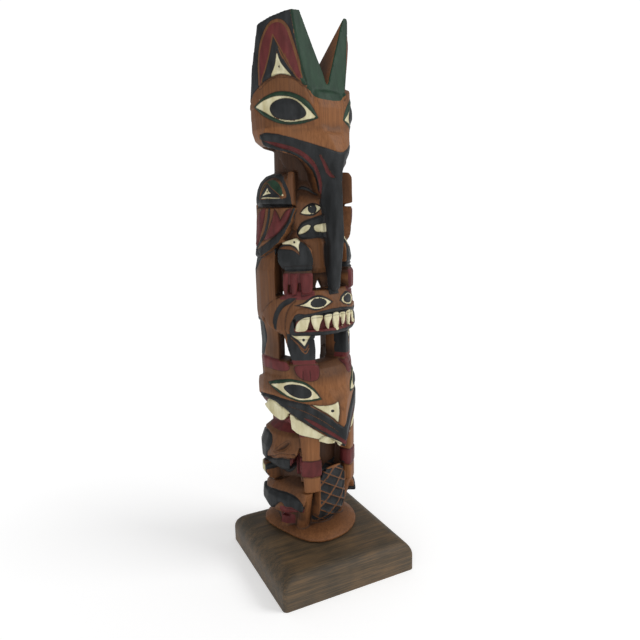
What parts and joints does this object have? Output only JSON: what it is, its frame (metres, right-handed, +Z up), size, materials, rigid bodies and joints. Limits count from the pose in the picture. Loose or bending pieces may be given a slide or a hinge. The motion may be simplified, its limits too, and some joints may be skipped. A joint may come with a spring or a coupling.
{
  "type": "totem pole",
  "caption": "Model totem pole: a cedar log carved with stacked bird, bear and beaver figures, painted, standing on a square board plinth with rounded edges.",
  "frame": {"origin": "middle of the plinth's underside", "axes": "+Z up along the pole, -Y out of one face of the plinth; the figures face between -Y and +X, 13 degrees from -Y"},
  "size_m": [0.089, 0.089, 0.331],
  "materials": {
    "painted_cedar": "carved cedar, brown oil stain, black, green, red and cream paint",
    "stained_board": "dark olive-brown stain over open grain"
  },
  "bodies": {
    "root": {"pole": "painted_cedar", "plinth": "stained_board"}
  },
  "joints": []
}
